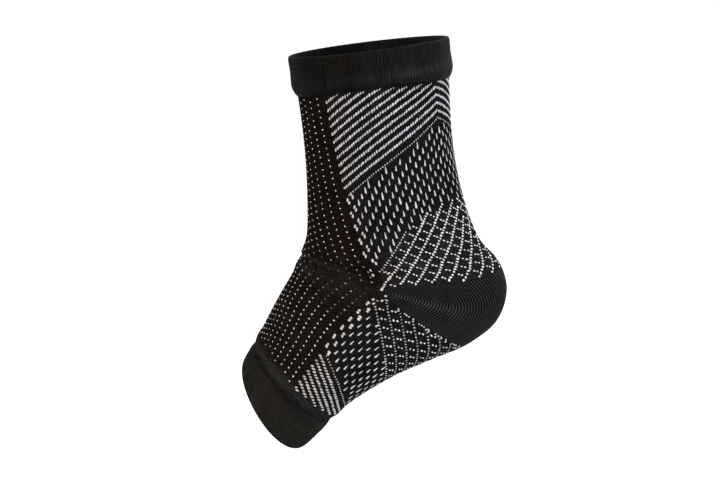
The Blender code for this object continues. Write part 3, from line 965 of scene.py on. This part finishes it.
def yarn_piece(name, groups, zone, place, slot, seed):
    """One piece of many stitches of the near side, and the same mirrored on the far side."""
    rng = np.random.default_rng(seed)
    # Painted shade at a stitch's ends, where the yarn dips into the knit.
    shade = 1 - 0.3 * np.abs(STITCH_ALONG) ** 3  # the yarn dips into the knit at a stitch's ends
    shade = np.concatenate([shade[:1], np.repeat(shade[1:-1], STITCH_SIDES), shade[-1:]])
    bodies, tints = [], []
    for group in groups:
        centre = np.abs(group.wale) % (WALES / 2) == 0
        wale = np.concatenate([group.wale, -group.wale[~centre]])
        row, tone, size = (np.concatenate([a, a[~centre]]) for a in (group.row, group.tone, group.size))
        count, chance = len(wale), rng.normal(size=(len(wale), 6))
        behind = np.clip((np.abs(wale) - BORDER_WALE) / 20, 0, 1)[:, None]
        bright = tone * (1 + TONE_CHANCE * chance[:, 3])
        colour = (behind * YARN_BACK + (1 - behind) * YARN_FRONT) * bright[:, None]
        wale, row = wale + WALE_CHANCE * chance[:, 4], row + ROW_CHANCE * chance[:, 5]
        body = stitch_bodies(zone, place, Stitches(group.kind, wale, row, tone, size), chance)
        rings = body[:, 1:-1].reshape(count, -1, 3)
        bodies.append(np.concatenate([body[:, :1, 0], rings, body[:, -1:, 0]], axis=1))
        tints.append(colour[:, None] * shade[:, None])
    bodies, tints = np.concatenate(bodies), np.concatenate(tints)
    quads, ends = stitch_faces(len(bodies))
    mesh = bpy.data.meshes.new(name)
    mesh.from_pydata(bodies.reshape(-1, 3).tolist(), [], quads.tolist() + ends.tolist())
    tint = mesh.attributes.new("tint", "FLOAT_COLOR", "POINT")
    full = np.pad(np.clip(tints.reshape(-1, 3), 0, 0.9), ((0, 0), (0, 1)), constant_values=1)
    tint.data.foreach_set("color", full.astype(np.float32).ravel())
    mesh.shade_smooth()
    fit_piece(mesh, light_yarn, slot)


def yarn_finish():
    """Off-white yarn: each stitch has its own tint, fine fibres, and painted shade towards its two ends."""
    material, tree, shader = new_finish("light_yarn", 0.85, 0.1)
    tint = tree.node("ShaderNodeAttribute", {"attribute_name": "tint"}, (), "Color")
    fibre = tree.noise(tree.node("ShaderNodeTexCoord", outlet="Object"), 2500.0, 2.0)
    (0.75 + 0.5 * fibre).shaded(tint).feed(shader.inputs["Base Color"])
    fibre.bumped(shader, 0.4, 0.0001)
    return material


def leg_lattice(line, step):
    """Wale and row of a step along a line of the lattice; line 1 follows its steps, the others lie apart."""
    wale, row, wales_apart, rows_apart = curves(LEG_LATTICE, step)
    aside = line - 1
    return wale + aside * wales_apart - 0.09 * aside**2, row + aside * rows_apart - 0.03 * aside**2


def leg_thin_line(wale):
    """Row of the thin line that parts the leg's stripes from its dashes, a little steeper at the back."""
    return line_row(LEG_THIN_LINE, wale) - 0.1 * np.clip(wale - 70, 0, None)


def leg_pattern():
    """The leg's light stitches on its near side."""
    wale, number = every(BACK_WALES, np.arange(12))
    row = line_row(LEG_STRIPES, wale, number)
    small = 0.55 + 0.45 * ease(row, 0.3, 3.3)
    drawn = np.where(row < 4, 4 - 0.7 * (4 - row), row)  # the welt draws the first rows together
    groups = [stitches(STRIPE, wale, drawn, 0.93, small, row > 0.2)]
    groups.append(stitches(THIN, BACK_WALES[1:], leg_thin_line(BACK_WALES[1:]), 0.85))

    wale, number = dash_places(np.arange(-8, 14))
    (bend,) = curves(LEG_DASH_BEND, wale)
    row = line_row(LEG_DASHES, wale, number) + bend
    groups += twins(ZIGZAG, wale, row, 0.16, 1.1, keep=(wale <= ZIGZAG_WALE) & (row > 68))
    keep = (wale > ZIGZAG_WALE) & (row > leg_thin_line(wale) + 3)
    keep &= (row < lattice_top(wale) + 0.6) | ((wale == 74) & (number == 7))
    forward = 1.4 * ease(wale, 63, 72) * ease(wale, 84, 82) * np.clip((row - 60) / 22, 0, 1)
    groups.append(stitches(DASH, wale - forward, row, keep=keep))

    # The lattice's lines of beads, every third one long. Line 0 and the one before it end above the corner.
    line, third = every(np.arange(-1, 9), np.arange(-9, 33))
    wale, row = leg_lattice(line, third / 3)
    keep = between(row, lattice_top(wale) - 0.3, seam_row(LEG, wale) - 1.0) & between(wale, 39.5, 84.3)
    keep &= (line > 0) | (row < 131)
    tone, size = np.where(line < 0, 0.90, 1.35), np.where(line < 0, 0.78, 1.0)
    groups.append(stitches(LONG_BEAD, wale, row, 0.9 * tone, size, keep & (third % 3 == 0)))
    groups.append(stitches(BEAD, wale, row, tone, size, keep & (third % 3 != 0)))

    # Two stitches in each of its diamonds.
    line, step = every(np.arange(-1, 9), np.arange(-3, 11))
    wale, row = leg_lattice(line + 0.5, step + 0.5)
    row = row + 0.4
    keep = between(row, lattice_top(wale) + 1.8, seam_row(LEG, wale) - 1.5) & between(wale, 41.5, 83.3)
    keep &= (line > 0) | (row < 132)
    groups += twins(PAIR, wale, row, 0.42, 0.6, 1.35, keep=keep)

    wale, number, row = dot_places(LEG_DOTS, 32)
    share, course = leg_place(wale, row)
    keep = (course < GORE_COURSE) & (row < seam_row(LEG, wale) - 0.5)
    near_bend = ease(course, 0.372, 0.432) * ease(wale, 6, 16) * (1 - 0.4 * ease(wale, 26, 32))
    dim = dulled(wale, number, near_bend) * (0.72 + 0.28 * wale / LAST_DOT_WALE)
    groups.append(stitches(DOT, wale, row, dim, 0.90 + 0.07 * ease(course, 0.25, 0.37), keep))

    # The corner of the heel, where the lattice's first line runs out in loose stitches of the border.
    tail = np.array([(43.0, 129.9), (42.1, 131.3), (41.1, 132.7), (40.5, 134.4), (40.2, 136.0)])
    groups.append(stitches(BEAD, *tail.T, 1.2, 0.9))
    groups.append(stitches(PAIR, [42.1, 43.1, 42.6, 43.9], [125.1, 126.6, 135.3, 136.3], 1.15))
    groups.append(stitches(LOOP_STITCH, [37.6, 37.4, 39.6], [122.6, 126.4, 138.0], 0.95, [0.8, 1.0, 1.0]))
    return groups


light_yarn = yarn_finish()
yarn_piece("leg_yarn", leg_pattern(), LEG, leg_place, "leg_knit", 11)

# Yarn pattern of the foot.
# The same light yarn goes on below the heel: dots on the instep, dashes and a lattice at the side, and
# slanting stripes before the toe welt.
FOOT_STRIPES = Lines(37.4, -1.03, -4.6)
FOOT_THIN_LINE = Lines(42.0, -0.98)
FOOT_DASHES = Lines(38.6, 0, 4.03, 0.013)
DASHES_END = Lines(92.8, -1.47)
FOOT_DOTS = Dots(9.8, 1.9, 3.75)
FOOT_LATTICE_START = (47.5, 82.6)  # wale and row
FOOT_LATTICE_LINE = (3.40, 4.50)
FOOT_LATTICE_STEP = (2.97, -4.30)

# Stitches along the heel seam come in the same order after each lattice line that meets it: how many wales
# past the line, how many rows before the seam, and how bright.
SEAM_STITCHES = [(-0.5, 0.6, 0.95), (0.0, 1.9, 1.1), (2.3, 0.9, 0.75), (3.3, 0.9, 1.1), (4.3, 0.9, 1.1)]
SEAM_LINES = 49.0 + 6.55 * np.arange(7)  # wales


def foot_place(wale, row):
    """Share and course of stitches on the foot."""
    return zone_place(FOOT, wale, row, 0.92 - row / 260)


def foot_lattice(line, step):
    """Wale and row of a step along a line of the foot's lattice, which is even."""
    places = zip(FOOT_LATTICE_START, FOOT_LATTICE_LINE, FOOT_LATTICE_STEP)
    return [start + apart * line + onward * step for start, apart, onward in places]


def foot_pattern():
    """The foot's light stitches on its near side."""
    wale, number = every(BACK_WALES, np.arange(7))
    row = line_row(FOOT_STRIPES, wale, number)
    groups = [stitches(FOOT_STRIPE, wale, row, 0.90, keep=row > 8.5)]
    wale = BACK_WALES[2:34]
    groups.append(stitches(THIN, wale, line_row(FOOT_THIN_LINE, wale), 0.75))

    wale, number = dash_places(np.arange(-9, 14))
    row = line_row(FOOT_DASHES, wale, number) - 0.7 * (wale == BORDER_WALE)
    keep = (wale <= ZIGZAG_WALE) & between(row, 41, 91)
    groups += twins(FOOT_ZIGZAG, wale, row, -0.07, 0.85, 1.05, keep=keep)
    keep = (wale > ZIGZAG_WALE) & (row > 9)
    keep &= between(row, line_row(FOOT_THIN_LINE, wale) + 2.6, line_row(DASHES_END, wale))
    groups.append(stitches(DASH, wale, row, 1.0, 0.88, keep))

    line, third = every(np.arange(0, 12), np.arange(-36, 75))
    wale, row = foot_lattice(line, third / 3)
    keep = between(wale, 42.5, 84.3) & between(row, 9, seam_row(FOOT, wale) - 1.5)
    tone = np.where((line == 0) | (third % 3 == 0), 0.90, 0.55)
    groups.append(stitches(THIN, wale, row, tone, 1.08, keep))
    line, step = every(np.arange(0, 12), np.arange(-12, 25))
    wale, row = foot_lattice(line + 0.5, step + 0.5)
    keep = between(wale, 42.5, 83.3) & between(row, 9.5, seam_row(FOOT, wale) - 2.5)
    groups += twins(PAIR, wale, row, 0.54, 0.6, 1.2, 1.12, keep)

    past, before, tone = np.array(SEAM_STITCHES).T
    wale = SEAM_LINES[:, None] + past
    groups.append(stitches(PAIR, wale, seam_row(FOOT, wale) - before, tone, 1.0, wale < 84))

    wale, number, row = dot_places(FOOT_DOTS, 30)
    share, course = foot_place(wale, row)
    keep = (course > GORE_COURSE + 0.02) & (row > 9 + 5 * (1 - wale / LAST_DOT_WALE))
    near_bend = ease(row - 20 * np.clip(1 - wale / 24, 0, 1), 60, 68)
    dim = dulled(wale, number, near_bend) * (0.8 + 0.2 * wale / LAST_DOT_WALE)
    groups.append(stitches(DOT, wale, row, 1.15 * dim, 1.0 + 0.2 * near_bend, keep))

    # The corner of the heel.
    loops = np.array([(41.9, 101.0), (42.3, 96.4), (40.0, 92.9), (40.2, 88.7), (41.3, 91.0)])
    groups.append(stitches(LOOP_STITCH, *loops.T, 1.0, 0.85))
    groups.append(stitches(PAIR, [43.4, 41.4], [98.9, 94.4], [1.1, 0.7]))
    return groups


yarn_piece("foot_yarn", foot_pattern(), FOOT, foot_place, "foot_knit", 12)

# Floor and light.
# A plain pale floor a little below the sleeve, in a white room, so that the picture's ground is white. Three
# large soft lamps light the knit from the front, from the right and from behind.
FLOOR_DROP = 0.060
FLOOR_HALF = 20.0
FLOOR_COLOUR = (0.95, 0.95, 0.95, 1)
ROOM_COLOUR = (1, 1, 1, 1)
ROOM_LIGHT = 1.10
floor_mesh = bpy.data.meshes.new("floor")
floor_corners = [
    (x * FLOOR_HALF, y * FLOOR_HALF, cad_low.z - FLOOR_DROP) for x, y in ((-1, -1), (1, -1), (1, 1), (-1, 1))
]
floor_mesh.from_pydata(floor_corners, [], [(0, 1, 2, 3)])
floor_finish, _, shader = new_finish("pale_floor", 0.9, 0.0)
shader.inputs["Base Color"].default_value = FLOOR_COLOUR
floor_mesh.materials.append(floor_finish)
put("floor", floor_mesh)

world = bpy.data.worlds.new("white_room")
world.use_nodes = True
room = world.node_tree.nodes["Background"]
room.inputs["Color"].default_value = ROOM_COLOUR
room.inputs["Strength"].default_value = ROOM_LIGHT
bpy.context.scene.world = world
bpy.context.scene.view_settings.view_transform = "Standard"

Lamp = namedtuple("Lamp", "name place aim size watts")
for lamp in [
    Lamp("key", (-0.45, -0.75, 0.85), (0, 0, 0.02), 0.5, 6.5),
    Lamp("side", (0.85, -0.45, 0.35), (0, 0, 0.02), 0.4, 2.0),
    Lamp("back", (0.75, 0.60, 0.45), (0.04, 0, 0.05), 0.4, 3.5),
]:
    light = bpy.data.lights.new(lamp.name, "AREA")
    light.shape, light.size, light.energy = "DISK", lamp.size, lamp.watts
    stand = put(lamp.name, light)
    stand.location = lamp.place
    aim = np.array(lamp.aim) - lamp.place
    tilt = np.arccos(-aim[2] / np.linalg.norm(aim))
    stand.rotation_euler = (tilt, 0, np.arctan2(aim[1], aim[0]) - np.pi / 2)

bpy.context.view_layer.update()
